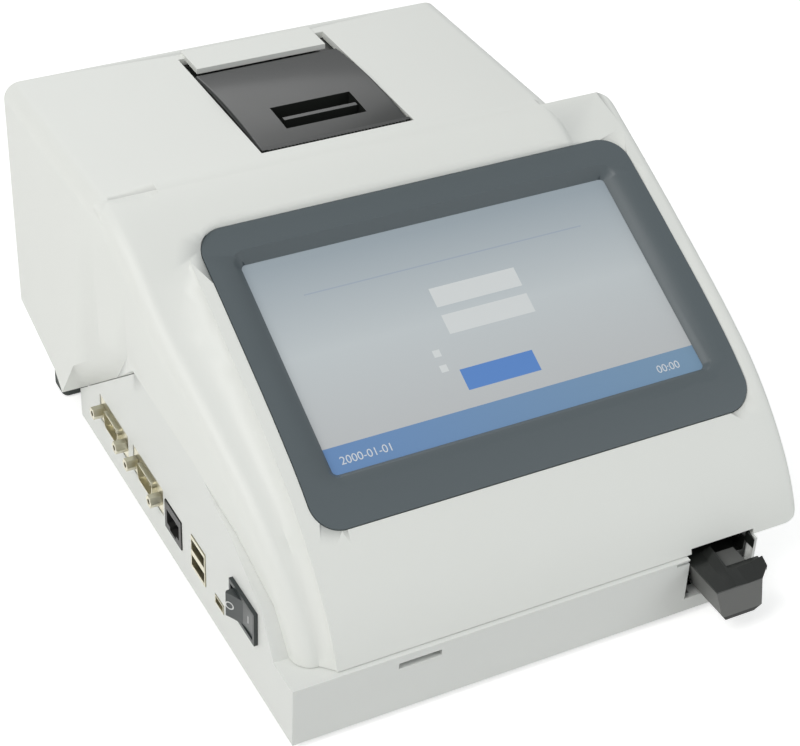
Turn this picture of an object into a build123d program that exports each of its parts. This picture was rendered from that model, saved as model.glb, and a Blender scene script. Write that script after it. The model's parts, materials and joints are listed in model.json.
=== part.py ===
from build123d import *
import os
from math import radians, degrees, sin, cos, tan, acos, atan2, hypot, pi

os.makedirs("parts", exist_ok=True)

# Bench-top fluorescence reader, millimetres, +Z up, front towards -Y.
# Datum: middle of the rear housing, front face of the base, underside of the base.

# housing
housing_width = 198.0
depth = 261.0
housing_height = 135.0
wall = 2.5
foot_height = 2.5
console_overhang = 26.0
tray_reach = 17.5
console_left = 73.0
base_left = 91.0
base_right = 104.0
front_right_length = 150.0
tail_y = 212.0
edge_round = 7.0
wing_round = 7.0

# console surface
lip_y = 2.0
lip_height = 26.5
fold_y = 160.0
console_tilt = 26.3
console_run = 122.5
console_crown = 1.4
chin_share = 0.556
chin_bulge = 5.9
lip_slope = 73.0
knee_turn = 5.0
shoulder_inset = 5.4
console_wall = 3.2
seam_gap = 0.35
seat_gap = 0.1

# screen, tilted with the console
screen_x = 24.56
screen_y = 85.3
screen_z = 94.39
bezel_width = 184.5
bezel_length = 125.8
bezel_corner = 11.0
bezel_proud = 0.4
bezel_lip = 3.0
bezel_flange = 1.8
opening_width = 157.6
opening_length = 90.5
opening_shift = 1.75
opening_slope = 42.0
glass_width = 164.9
glass_length = 100.0
glass_thickness = 1.1
lcd_thickness = 5.7

# connector side
board_top = 12.0
board_thickness = 1.6
dsub_z = 21.2
dsub_rear_y = 171.5
dsub_front_y = 134.5
jack_spacing = 24.99
lan_y = 108.0
usb_y = 83.5
mini_usb_y = 64.0
switch_y = 40.2
switch_z = 30.7

# power switch
rocker_length = 16.8
rocker_height = 11.0
rocker_rest_tilt = 14.0
pivot_r = 1.0
pivot_clearance = 0.06

# receipt printer
bay_left = -26.5
bay_right = 39.5
bay_front = 169.0
bay_rear = 253.0
tongue_front = 240.0
tongue_top = 136.3
ceiling = 132.0
frame_screw_spots = [(-29.2, 176.0), (42.2, 176.0), (-29.2, 248.0), (42.2, 248.0)]
hinge_y = 231.5
hinge_z = 129.4
hinge_r = 1.5
lid_left = -25.9
lid_right = 38.9
lid_front = 172.9
lid_rear = 237.0
lid_gap = 0.3
lid_swing_r = 8.1
pin_boss_r = 2.5
bucket_wall = 1.8
platen_y = 180.6
platen_z = 124.5
feed_module = 0.5
platen_gear_teeth = 20
feed_pinion_teeth = 12
feed_slack = 0.16
gear_slack = 0.3
platen_r = 4.5
shaft_r = 1.5
shaft_clearance = 0.05

# card tray and its rack drive
tray_left = 74.0
tray_right = 102.3
tray_travel = 40.0
card_width = 16.4
card_length = 62.0
gear_module = 1.0
pinion_teeth = 14
pinion_x = 66.0
pinion_y = 56.0
pressure_angle = 20.0
rod_r = 1.5
rod_z = 4.75
rod_left_x = 80.0
rod_right_x = 96.0

console_right = housing_width / 2 + console_overhang
half_width = housing_width / 2
datum = Vector(-console_overhang / 2, (tray_reach - depth) / 2, foot_height)
side_plane = Plane(origin=datum, x_dir=(0, 1, 0), z_dir=(1, 0, 0))
plan_plane = Plane(origin=datum)
front_plane = Plane(origin=datum, x_dir=(1, 0, 0), z_dir=(0, -1, 0))
screen_plane = Plane(
    origin=datum + Vector(screen_x, screen_y, screen_z),
    x_dir=(1, 0, 0),
    z_dir=(0, -sin(radians(console_tilt)), cos(radians(console_tilt))),
)


def spot(x, y, z):
    return Location(datum + Vector(x, y, z))


def span(x0, x1, y0, y1, z0, z1, mode=Mode.ADD):
    with Locations(spot((x0 + x1) / 2, (y0 + y1) / 2, (z0 + z1) / 2)):
        Box(x1 - x0, y1 - y0, z1 - z0, mode=mode)


def rod(x, y, z, radius, length, axis="Z", mode=Mode.ADD):
    turn = {"Z": (0, 0, 0), "X": (0, 90, 0), "Y": (-90, 0, 0)}[axis]
    with Locations(spot(x, y, z)):
        Cylinder(radius, length, rotation=turn, mode=mode)


def crest(inset):
    knee_y = fold_y - console_run * cos(radians(console_tilt))
    knee_z = housing_height - console_run * sin(radians(console_tilt))
    brow_y = (fold_y + knee_y) / 2 - console_crown * sin(radians(console_tilt))
    brow_z = (housing_height + knee_z) / 2 + console_crown * cos(radians(console_tilt))
    drop = degrees(atan2(knee_z - lip_height, knee_y - lip_y))
    reach = hypot(knee_y - lip_y, knee_z - lip_height)
    chin_y = knee_y - chin_share * reach * cos(radians(drop)) - chin_bulge * sin(radians(drop))
    chin_z = knee_z - chin_share * reach * sin(radians(drop)) + chin_bulge * cos(radians(drop))
    stations = [
        (fold_y, housing_height, console_tilt - 1.0),
        (brow_y, brow_z, console_tilt),
        (knee_y, knee_z, console_tilt + knee_turn),
        (chin_y, chin_z, drop),
        (lip_y, lip_height, lip_slope),
    ]
    points = [
        (y + inset * sin(radians(a)), z - inset * cos(radians(a))) for y, z, a in stations
    ]
    tangents = [(-cos(radians(a)), -sin(radians(a))) for y, z, a in stations]
    return points, tangents


def under_crest(inset, left, right, floor, back=fold_y + 40):
    # everything below the console profile moved inwards by the inset
    points, tangents = crest(inset)
    corner = [(points[-1][0], floor)] if points[-1][1] - floor > 0.01 else []
    with BuildPart() as body:
        with BuildSketch(side_plane.offset(left)):
            with BuildLine():
                Spline(*points, tangents=tangents)
                Polyline(
                    points[-1],
                    *corner,
                    (back, floor),
                    (back, points[0][1]),
                    points[0],
                )
            make_face()
        extrude(amount=right - left)
    return body.part


def gear_outline(teeth, module, slack):
    pitch = teeth * module / 2
    base = pitch * cos(radians(pressure_angle))
    tip = pitch + 0.9 * module
    root = pitch - 1.2 * module
    spread = tan(radians(pressure_angle)) - radians(pressure_angle)
    half = (pi * module / 2 - slack) / (2 * pitch) + spread
    flank = []
    for step in range(4):
        r = base + (tip - base) * step / 3
        a = acos(min(1.0, base / r))
        flank.append((r, half - (tan(a) - a)))
    outline = []
    for tooth in range(teeth):
        mid = 2 * pi * tooth / teeth
        outline.append((root * cos(mid - half), root * sin(mid - half)))
        for r, a in flank:
            outline.append((r * cos(mid - a), r * sin(mid - a)))
        for r, a in reversed(flank):
            outline.append((r * cos(mid + a), r * sin(mid + a)))
        outline.append((root * cos(mid + half), root * sin(mid + half)))
    return outline


# edge of the upper shell along the connector side, from the front to the tail
seam = [
    (16.0, lip_height),
    (26.0, 42.5),
    (52.8, 56.3),
    (65.5, 59.9),
    (84.0, 66.5),
    (121.0, 75.6),
    (131.0, 78.0),
    (145.0, 66.0),
    (tail_y, 14.0),
]
tail = [(220.0, 20.5), (depth, 31.0)]
taper = 0.098


def plan_outline(inset):
    # tapering left wall of the upper shell, seen from above, as a closed face outline
    left = -half_width + inset
    bend_y = 157.0
    toe_y = 17.0
    toe = (left + (bend_y - toe_y) * taper, toe_y)
    mid = (left + (bend_y - 136.0) * taper, 136.0)
    nose = (-console_left - 1 + inset, -2.0)
    Line((left, depth + 5), (left, 174))
    Spline((left, 174), mid, tangents=[(0, -1), (taper, -1)])
    Line(mid, toe)
    Spline(toe, nose, tangents=[(taper, -1), (1, -0.35)])
    Polyline(nose, (half_width - inset, -2), (half_width - inset, depth + 5), (left, depth + 5))


# solid forms of the upper shell
with BuildPart() as shoulder_form:
    with BuildSketch(side_plane.offset(-half_width)):
        with BuildLine():
            points, tangents = crest(shoulder_inset)
            toe_point = (points[-1][0] + 0.3, lip_height)
            Spline((fold_y + 6, housing_height), *points[1:-1], toe_point,
                   tangents=[(-1, 0), *tangents[1:]])
            Polyline(toe_point, *seam, *tail, (depth, housing_height),
                     (fold_y + 6, housing_height))
        make_face()
    extrude(amount=housing_width)
    with BuildSketch(plan_plane):
        with BuildLine():
            plan_outline(0)
        make_face()
    extrude(amount=housing_height, mode=Mode.INTERSECT)
    rim = [
        e for e in shoulder_form.edges()
        if max((e @ 0).Z, (e @ 1).Z) - datum.Z > housing_height - 25
        and abs((e @ 0).Y - (e @ 1).Y) > 5
    ]
    fillet(rim, radius=edge_round)

with BuildPart() as console_form:
    add(under_crest(0, -console_left, console_right, lip_height))
    with BuildSketch(side_plane.offset(-console_left - 5)):
        with BuildLine():
            Polyline((fold_y - 10, lip_height - 1), (fold_y, housing_height),
                     (fold_y + 60, housing_height + 1), (fold_y + 60, lip_height - 1),
                     (fold_y - 10, lip_height - 1))
        make_face()
    extrude(amount=console_right + console_left + 10, mode=Mode.SUBTRACT)
    outer = console_form.faces().sort_by(Axis.X)[-1]
    brim = [e for e in outer.edges() if e.length > 60 and (e @ 0.5).Z > datum.Z + 60]
    fillet(brim, radius=3.5)
    # rounded lower corner of the wing, seen from the front
    with BuildSketch(front_plane.offset(5)):
        with BuildLine():
            corner_x = console_right - wing_round
            corner_z = lip_height + wing_round
            Polyline((corner_x, lip_height), (-console_left - 5, lip_height),
                     (-console_left - 5, housing_height + 5), (console_right, housing_height + 5),
                     (console_right, corner_z))
            ThreePointArc((console_right, corner_z),
                          (corner_x + wing_round * cos(radians(45)),
                           corner_z - wing_round * sin(radians(45))),
                          (corner_x, lip_height))
        make_face()
    extrude(amount=-(fold_y + 30), mode=Mode.INTERSECT)
    with BuildSketch(plan_plane):
        with BuildLine():
            Polyline((console_right, fold_y - 10), (console_right, -5), (-console_left - 5, -5),
                     (-console_left - 5, fold_y + 1), (console_right - 10, fold_y + 1))
            RadiusArc((console_right - 10, fold_y + 1), (console_right, fold_y - 10), 11)
        make_face()
    extrude(amount=housing_height + 5, mode=Mode.INTERSECT)
    with BuildSketch(side_plane.offset(-console_left)):
        with BuildLine():
            Polyline((fold_y, housing_height), (fold_y + 8, housing_height),
                     (fold_y + 8, housing_height - 15), (fold_y - 3, housing_height - 15),
                     (fold_y, housing_height))
        make_face()
    extrude(amount=half_width - edge_round + console_left)

# sloping strip that falls from the console edge to the shoulder
with BuildPart() as strip_form:
    points, tangents = crest(0)
    lean = [0.3, 12.8, 24.6, 30.0, 25.0]
    slopes = [console_tilt - 1, console_tilt, console_tilt + knee_turn, 48.4, lip_slope]
    outer_points = [
        (y + d * sin(radians(a)), z - d * cos(radians(a)))
        for (y, z), d, a in zip(points, lean, slopes)
    ]
    with BuildSketch(side_plane.offset(-console_left + 1)):
        with BuildLine():
            Spline(*points, tangents=tangents)
            Polyline(points[-1], (60, lip_height - 6), (fold_y, 100), points[0])
        make_face()
    with BuildSketch(side_plane.offset(-half_width)):
        with BuildLine():
            Spline(*outer_points)
            Polyline(outer_points[-1], (70, lip_height - 14), (fold_y, 95), outer_points[0])
        make_face()
    loft(ruled=True)
    with BuildSketch(side_plane.offset(-half_width)):
        with BuildLine():
            Polyline((lip_y, lip_height), *seam, (tail_y, 140), (lip_y, 140), (lip_y, lip_height))
        make_face()
    extrude(amount=40, mode=Mode.INTERSECT)
    with BuildSketch(plan_plane):
        with BuildLine():
            plan_outline(0.6)
        make_face()
    extrude(amount=housing_height, mode=Mode.INTERSECT)

# recessed bevel above the connector panel, and the thicker core that stays behind it
run_y = tail_y - 145.0
run_z = 14.0 - 66.0
run = hypot(run_y, run_z)
bevel_plane = Plane(
    origin=datum + Vector(-base_left, 145.0 - 30 * run_y / run, 66.0 - 30 * run_z / run),
    x_dir=(-1, 0, 0),
    z_dir=(0, run_y / run, run_z / run),
)


def bevel_prism(grow):
    with BuildPart() as body:
        with BuildSketch(bevel_plane):
            with BuildLine():
                Polyline((-grow, -6), (-grow, 0.6 * grow), (9.2 - grow, 10.7 + 0.6 * grow),
                         (14, 10.7 + 0.6 * grow), (14, -6), (-grow, -6))
            make_face()
        extrude(amount=run + 50)
        with BuildSketch(side_plane.offset(-base_left - 20)):
            with BuildLine():
                Polyline((128.6 - grow, 92 + grow), (187 + grow, 50 + grow), (218 + grow, 5.3 + grow),
                         (150 - grow, 58 - grow), (128.6 - grow, 92 + grow))
            make_face()
        extrude(amount=40, mode=Mode.INTERSECT)
    return body.part


bevel_cut = bevel_prism(0)
bevel_core = bevel_prism(wall)
mirror_plane = Plane(origin=datum, z_dir=(1, 0, 0))

with BuildPart() as side_cavity:
    add(under_crest(shoulder_inset + wall, -half_width + wall, -console_left + 3, -5, depth - wall))
    with BuildSketch(plan_plane.offset(-10)):
        with BuildLine():
            plan_outline(wall)
        make_face()
    extrude(amount=housing_height + 20, mode=Mode.INTERSECT)
    add(bevel_core, mode=Mode.SUBTRACT)

with BuildPart() as main_cavity:
    add(under_crest(console_wall, -console_left + wall, half_width - wall, -5, depth - wall))
    long_edge = [
        e for e in main_cavity.edges()
        if (e @ 0.5).Z > datum.Z + 130 and (e @ 0.5).X > datum.X + 90 and e.length > 50
    ]
    fillet(long_edge, radius=4)
    add(mirror(bevel_core, about=mirror_plane), mode=Mode.SUBTRACT)
    # room for the right panel of the base, below the edge of the upper shell
    with BuildSketch(side_plane.offset(base_left - wall - 2)):
        with BuildLine():
            Polyline((138, -5), (138, 71), (145, 66), (tail_y, 14), (tail_y, -5), (138, -5))
        make_face()
    extrude(amount=half_width - base_left)

with BuildPart() as wing_cavity:
    add(under_crest(console_wall, half_width - wall - 1, console_right - wall, -5))
    span(half_width - 5, console_right, -5, fold_y - 16, lip_height + wall, 140, mode=Mode.INTERSECT)

post_spots = [(-64.0, 19.0), (58.0, 19.0), (-76.0, 203.0), (76.0, 203.0)]
post_r = 4.0
post_foot = 22.3
with BuildPart() as posts_form:
    for x, y in post_spots:
        rod(x, y, (post_foot + 134) / 2, post_r, 134 - post_foot)
    add(under_crest(1.2, -half_width, half_width, 0, depth), mode=Mode.INTERSECT)

with BuildPart() as bezel_seat:
    with BuildSketch(screen_plane.offset(-12)):
        with Locations((0, -0.3)):
            RectangleRounded(bezel_width + 0.6, bezel_length + 0.6, bezel_corner + 0.3)
    extrude(amount=32)
    add(under_crest(bezel_flange - bezel_proud + seat_gap, -90, 130, -10), mode=Mode.SUBTRACT)

with BuildPart() as bezel_hole:
    with BuildSketch(screen_plane.offset(-20)):
        with Locations((0, -0.3)):
            RectangleRounded(bezel_width - 2 * bezel_lip + 0.6, bezel_length - 2 * bezel_lip + 0.6,
                             bezel_corner - bezel_lip)
    extrude(amount=40)

with BuildPart() as upper_shell:
    add(shoulder_form.part)
    add(strip_form.part)
    add(console_form.part)
    add(bevel_cut, mode=Mode.SUBTRACT)
    add(mirror(bevel_cut, about=mirror_plane), mode=Mode.SUBTRACT)
    add(side_cavity.part, mode=Mode.SUBTRACT)
    add(main_cavity.part, mode=Mode.SUBTRACT)
    add(wing_cavity.part, mode=Mode.SUBTRACT)
    add(posts_form.part)
    for x, y in post_spots:
        rod(x, y, post_foot + 6, 1.55, 12.2, mode=Mode.SUBTRACT)
    add(bezel_seat.part, mode=Mode.SUBTRACT)
    add(bezel_hole.part, mode=Mode.SUBTRACT)
    # raised pad behind the printer and the opening of the printer bay
    span(bay_left, bay_right, bay_front, bay_rear, 120, 140, mode=Mode.SUBTRACT)
    span(bay_left + 3, bay_right - 5, tongue_front, bay_rear + 4, tongue_top - 2.3, tongue_top)
    for x, y in frame_screw_spots:
        rod(x, y, 132.2, 1.3, 4.6, mode=Mode.SUBTRACT)
    # notch over the card tray and the thin slot beside it
    span(75.2, 103.6, -1, 111, lip_height - 3, 28.6, mode=Mode.SUBTRACT)
    span(75.2, 103.6, 3, 111, lip_height - 3, 29.4, mode=Mode.SUBTRACT)
upper_shell.part.label = "upper_shell"
export_step(upper_shell.part, "parts/upper_shell.step")

# base: floor, connector panel, front wall, foot of the wing and tail floor
panel_top = [(y, z - seam_gap) for y, z in seam]
boss_top = 22.0
boss_r = 4.2
counterbore_depth = 17.0
standoffs = [(-79.0, 54.0), (-27.0, 54.0), (-79.0, 192.5), (-27.0, 192.5)]
standoff_r = 3.0
board_bottom = board_top - board_thickness
ledge_depth = 24.0
lip_rib = 5.2
foot_spots = [(-76.0, 14.0), (84.0, 14.0)]
foot_r = 7.0
rear_feet_x = [-87.0, 87.0]
rear_foot_y = 236.0
leg_split = 12.0
with BuildPart() as base_shell:
    with BuildSketch(side_plane.offset(-base_left)):
        with BuildLine():
            Polyline((0, 0), (0, lip_height - seam_gap), *panel_top, (tail_y, 0), (0, 0))
        make_face()
    extrude(amount=9)
    # floor, front wall and the foot of the wing
    with BuildSketch(plan_plane):
        with BuildLine():
            Polyline((-base_left, 0), (base_right, 0), (base_right, front_right_length),
                     (base_left, front_right_length), (base_left, tail_y), (-base_left, tail_y),
                     (-base_left, 0))
        make_face()
    extrude(amount=lip_height - seam_gap)
    corner = [
        e for e in base_shell.edges().filter_by(Axis.Z)
        if (e @ 0.5).X > datum.X + base_right - 1 and (e @ 0.5).Y > datum.Y + 100
    ]
    fillet(corner, radius=6)
    # connector panel hollowed from behind, then the inside of the tub
    with BuildSketch(side_plane.offset(-base_left + wall)):
        with BuildLine():
            Polyline((wall, wall), (wall, lip_height - seam_gap - wall),
                     *[(y + 1.2, z - seam_gap - wall) for y, z in seam[:-3]],
                     (129.5, 74.2), (142.5, 63.2), (tail_y - wall, 11.2), (tail_y - wall, wall),
                     (wall, wall))
        make_face()
    extrude(amount=9, mode=Mode.SUBTRACT)
    with BuildSketch(plan_plane.offset(wall)):
        with BuildLine():
            Polyline((-base_left + 9, wall), (base_right - wall, wall),
                     (base_right - wall, front_right_length - wall),
                     (base_left - wall, front_right_length - wall),
                     (base_left - wall, tail_y - wall), (-base_left + 9, tail_y - wall),
                     (-base_left + 9, wall))
        make_face()
    extrude(amount=60, mode=Mode.SUBTRACT)
    # side walls and rear wall stay below the edge of the upper shell
    with BuildSketch(side_plane.offset(-base_right)):
        with BuildLine():
            Polyline(*panel_top[-2:], (tail_y + 2, panel_top[-1][1]), (tail_y + 2, 90), (145, 90),
                     panel_top[-2])
        make_face()
    extrude(amount=2 * base_right, mode=Mode.SUBTRACT)
    # ledge beside the console's left end and the rib behind the front wall, both under the lip
    span(-base_left + 1, -console_left + wall + 1, 1, ledge_depth, lip_height - seam_gap - wall,
         lip_height - seam_gap)
    span(-base_left + 1, tray_left - 1.5, 1, lip_rib, lip_height - seam_gap - wall,
         lip_height - seam_gap)
    # right panel behind the wing and the return beside it
    with BuildSketch(side_plane.offset(base_left - wall)):
        with BuildLine():
            Polyline((front_right_length - 6.5, 0), (front_right_length - 6.5, 62),
                     (front_right_length - 3, 60.9), (tail_y, 13.6), (tail_y, 0),
                     (front_right_length - 6.5, 0))
        make_face()
    extrude(amount=wall)
    span(base_left - wall, half_width - wall - 0.5, front_right_length - 9, front_right_length - 6.5,
         wall, 60)
    # tail floor closing the upper shell from below
    with BuildSketch(side_plane.offset(-half_width + wall + 0.5)):
        with BuildLine():
            Polyline((225, 22.3), (depth - wall - 0.4, 30.6), (depth - wall - 0.4, 33.2),
                     (225, 24.9), (225, 22.3))
        make_face()
    extrude(amount=housing_width - 2 * wall - 1)
    with BuildSketch(side_plane.offset(-base_left + 4)):
        with BuildLine():
            Polyline((tail_y - wall, 11.0), (tail_y, 11.0), (tail_y, 13.7), (220, 20.7),
                     (226, 22.5), (226, 25.1), (219, 23.4), (tail_y - wall, 16.0),
                     (tail_y - wall, 11.0))
        make_face()
    extrude(amount=2 * base_left - 8)
    for x in rear_feet_x:
        span(x - 4.2, x + 4.2, rear_foot_y - 5.2, rear_foot_y + 5.2, leg_split, 26.5)
    # screw bosses
    for x, y in post_spots:
        rod(x, y, boss_top / 2 + 1, boss_r, boss_top - 2)
    for x, y in post_spots:
        rod(x, y, counterbore_depth / 2, 3.2, counterbore_depth, mode=Mode.SUBTRACT)
        rod(x, y, boss_top - 3, 1.7, 12, mode=Mode.SUBTRACT)
    for x, y in standoffs:
        rod(x, y, (board_bottom - seat_gap + wall) / 2, standoff_r, board_bottom - seat_gap - wall)
        rod(x, y, board_bottom - 2.9, 1.3, 6, mode=Mode.SUBTRACT)
    # openings of the connector panel
    for y in (dsub_rear_y, dsub_front_y):
        span(-base_left - 1, -base_left + wall + 1, y - 15.8, y + 15.8, dsub_z - 6.6, dsub_z + 6.6,
             mode=Mode.SUBTRACT)
    span(-base_left - 1, -base_left + wall + 1, lan_y - 8.4, lan_y + 8.4, board_top - 0.2,
         board_top + 13.9, mode=Mode.SUBTRACT)
    span(-base_left - 1, -base_left + wall + 1, usb_y - 6.9, usb_y + 6.9, board_top - 0.2,
         board_top + 16.0, mode=Mode.SUBTRACT)
    span(-base_left - 1, -base_left + wall + 1, mini_usb_y - 4.3, mini_usb_y + 4.3, board_top - 0.2,
         board_top + 4.5, mode=Mode.SUBTRACT)
    span(-base_left - 1, -base_left + wall + 1, switch_y - 10.4, switch_y + 10.4, switch_z - 6.9,
         switch_z + 6.9, mode=Mode.SUBTRACT)
    # front openings for the tray and the identification card
    span(tray_left - 0.7, base_right - 1.2, -1, wall + 1, 6.3, 40, mode=Mode.SUBTRACT)
    span(base_right - wall - 1, base_right - 1.2, wall, 112, 13.2, 40, mode=Mode.SUBTRACT)
    span(67.5, 75, -1, wall + 1, 24.2, 25.4, mode=Mode.SUBTRACT)
    span(-49.6, -32.4, -1, wall + 1, 20.2, 22.8, mode=Mode.SUBTRACT)
    # rod supports of the tray guide
    for x in (rod_left_x, rod_right_x):
        span(x - 3, x + 3, wall, 6.2, wall - 0.5, 6.4)
        span(x - 3, x + 3, 115, 119, wall - 0.5, 8.0)
        rod(x, 60.8, rod_z, rod_r + 0.05, 114.4, axis="Y", mode=Mode.SUBTRACT)
    # pocket of the supply inlet in the rear wall
    rod(-60, tail_y, 7.6, 3.6, 8, axis="Y", mode=Mode.SUBTRACT)
    # rests of the card reader
    for x in (-53, -30.5):
        span(x, x + 2.5, wall - 0.5, 26, wall - 0.5, 14)
base_shell.part.label = "base_shell"
export_step(base_shell.part, "parts/base_shell.step")

# screen bezel, a ring that holds the display from the front
with BuildPart() as flange_band:
    add(under_crest(-bezel_proud, -90, 130, -10))
    add(under_crest(bezel_flange - bezel_proud, -90, 130, -10), mode=Mode.SUBTRACT)
skirt_width = bezel_width - 2 * bezel_lip
skirt_length = bezel_length - 2 * bezel_lip
lcd_bottom = -glass_thickness - seat_gap - lcd_thickness
skirt_bottom = lcd_bottom - 0.1
with BuildPart() as screen_bezel:
    with BuildSketch(screen_plane.offset(-15)):
        with Locations((0, -0.3)):
            RectangleRounded(bezel_width, bezel_length, bezel_corner)
    extrude(amount=35)
    add(flange_band.part, mode=Mode.INTERSECT)
    with BuildSketch(screen_plane.offset(skirt_bottom)):
        with Locations((0, -0.3)):
            RectangleRounded(skirt_width, skirt_length, bezel_corner - bezel_lip)
    extrude(amount=4 - skirt_bottom)
    with BuildSketch(screen_plane.offset(3.9)):
        with Locations((0, -0.3)):
            RectangleRounded(skirt_width, skirt_length, bezel_corner - bezel_lip)
    extrude(amount=12)
    add(under_crest(-bezel_proud, -90, 130, -40), mode=Mode.INTERSECT)
    # window with sloping sides
    with BuildSketch(screen_plane.offset(seat_gap)):
        with Locations((0.3, opening_shift)):
            RectangleRounded(opening_width, opening_length, 2)
    extrude(amount=14, taper=-opening_slope, mode=Mode.SUBTRACT)
    with BuildSketch(screen_plane.offset(seat_gap)):
        Rectangle(glass_width + 0.7, glass_length + 0.7)
    extrude(amount=-20, mode=Mode.SUBTRACT)
    bracket_screws = [(sx * (skirt_width / 2 - 4.5), sy * (skirt_length / 2 - 5.5) - 0.3)
                      for sx in (-1, 1) for sy in (-1, 1)]
    with BuildSketch(screen_plane.offset(skirt_bottom)):
        with Locations(*bracket_screws):
            Circle(1.25)
    extrude(amount=7, mode=Mode.SUBTRACT)
screen_bezel.part.label = "screen_bezel"
export_step(screen_bezel.part, "parts/screen_bezel.step")

with BuildPart() as display_glass:
    with BuildSketch(screen_plane):
        RectangleRounded(glass_width, glass_length, 1.5)
    extrude(amount=-glass_thickness)
display_glass.part.label = "display_glass"
export_step(display_glass.part, "parts/display_glass.step")

with BuildPart() as lcd_module:
    with BuildSketch(screen_plane.offset(-glass_thickness - seat_gap)):
        RectangleRounded(glass_width, glass_length, 1)
    extrude(amount=-lcd_thickness)
lcd_module.part.label = "lcd_module"
export_step(lcd_module.part, "parts/lcd_module.step")

# pressed steel plate that clamps the display module from behind
plate_thickness = 1.0
with BuildPart() as lcd_bracket:
    with BuildSketch(screen_plane.offset(skirt_bottom - seat_gap)):
        with Locations((0, -0.3)):
            RectangleRounded(skirt_width - 2, skirt_length - 2, 5)
        with Locations((0, -8)):
            RectangleRounded(90, 40, 4, mode=Mode.SUBTRACT)
        with Locations(*bracket_screws):
            Circle(1.35, mode=Mode.SUBTRACT)
    extrude(amount=-plate_thickness)
lcd_bracket.part.label = "lcd_bracket"
export_step(lcd_bracket.part, "parts/lcd_bracket.step")

with BuildPart() as display_screws:
    with BuildSketch(screen_plane.offset(skirt_bottom - 2 * seat_gap - plate_thickness)):
        with Locations(*bracket_screws):
            Circle(2.5)
    extrude(amount=-1.6)
    with BuildSketch(screen_plane.offset(skirt_bottom - 2 * seat_gap - plate_thickness - 0.2)):
        with Locations(*bracket_screws):
            Circle(1.2)
    extrude(amount=7)
display_screws.part.label = "display_screws"
export_step(display_screws.part, "parts/display_screws.step")

# main board with its parts on the connector side
with BuildPart() as main_board:
    span(-87.6, -22, 49, 197.5, board_bottom, board_top)
    for x, y in standoffs:
        rod(x, y, board_bottom, 1.35, 10, mode=Mode.SUBTRACT)
    span(-60, -46, 110, 124, board_top - 0.2, board_top + 1.6)
    span(-44, -32, 80, 92, board_top - 0.2, board_top + 1.4)
    span(-64, -40, 150, 162, board_top - 0.2, board_top + 9)
    for y in (66, 74, 140):
        rod(-50, y, board_top + 4, 3.2, 8.4)
main_board.part.label = "main_board"
export_step(main_board.part, "parts/main_board.step")

with BuildPart() as board_screws:
    for x, y in standoffs:
        rod(x, y, board_top + seat_gap + 0.9, 2.6, 1.8)
        rod(x, y, board_top + seat_gap - 3.2, 1.25, 7)
board_screws.part.label = "board_screws"
export_step(board_screws.part, "parts/board_screws.step")


def dsub_port(y, name):
    with BuildPart() as port:
        flange_x = -base_left + 0.3
        span(flange_x, flange_x + 0.8, y - 15.4, y + 15.4, dsub_z - 6.25, dsub_z + 6.25)
        with BuildSketch(side_plane.offset(flange_x - 1.9)):
            with BuildLine():
                Polyline((y - 8.4, dsub_z + 4.1), (y + 8.4, dsub_z + 4.1), (y + 7.0, dsub_z - 4.1),
                         (y - 7.0, dsub_z - 4.1), (y - 8.4, dsub_z + 4.1))
            make_face()
            fillet(vertices(), radius=1.8)
        extrude(amount=6)
        with BuildSketch(side_plane.offset(flange_x - 2)):
            with BuildLine():
                Polyline((y - 7.9, dsub_z + 3.6), (y + 7.9, dsub_z + 3.6), (y + 6.6, dsub_z - 3.6),
                         (y - 6.6, dsub_z - 3.6), (y - 7.9, dsub_z + 3.6))
            make_face()
            fillet(vertices(), radius=1.4)
        extrude(amount=6.4, mode=Mode.SUBTRACT)
        span(flange_x + 0.7, flange_x + 3, y - 8.6, y + 8.6, dsub_z - 5.5, dsub_z + 5.5)
        span(flange_x + 2.6, flange_x + 13, y - 9.5, y + 9.5, board_top + seat_gap, dsub_z + 5.5)
        for row, count, rise in ((0, 5, 1.42), (1, 4, -1.42)):
            for k in range(count):
                rod(flange_x + 2.4, y + (k - (count - 1) / 2) * 2.77, dsub_z + rise, 0.5, 5.4,
                    axis="X")
        for side in (-1, 1):
            rod(flange_x, y + side * jack_spacing / 2, dsub_z, 1.75, 6, axis="X",
                mode=Mode.SUBTRACT)
    port.part.label = name
    export_step(port.part, "parts/" + name + ".step")
    return port.part


serial_port_rear = dsub_port(dsub_rear_y, "serial_port_rear")
serial_port_front = dsub_port(dsub_front_y, "serial_port_front")

with BuildPart() as port_jackscrews:
    for y in (dsub_rear_y, dsub_front_y):
        for side in (-1, 1):
            jack_y = y + side * jack_spacing / 2
            with BuildSketch(side_plane.offset(-base_left - 4.8)):
                with Locations((jack_y, dsub_z)):
                    RegularPolygon(2.75, 6)
            extrude(amount=5)
            rod(-base_left + 2, jack_y, dsub_z, 1.7, 6, axis="X")
            rod(-base_left - 3, jack_y, dsub_z, 1.2, 5, axis="X", mode=Mode.SUBTRACT)
port_jackscrews.part.label = "port_jackscrews"
export_step(port_jackscrews.part, "parts/port_jackscrews.step")

with BuildPart() as lan_jack:
    span(-base_left - 0.5, -base_left + 20.8, lan_y - 8.1, lan_y + 8.1, board_top + seat_gap,
         board_top + 13.5)
    span(-base_left - 1, -base_left + 12, lan_y - 6, lan_y + 6, board_top + 3.2, board_top + 10,
         mode=Mode.SUBTRACT)
    span(-base_left - 1, -base_left + 12, lan_y - 3, lan_y + 3, board_top + 1.6, board_top + 5,
         mode=Mode.SUBTRACT)
lan_jack.part.label = "lan_jack"
export_step(lan_jack.part, "parts/lan_jack.step")

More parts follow.
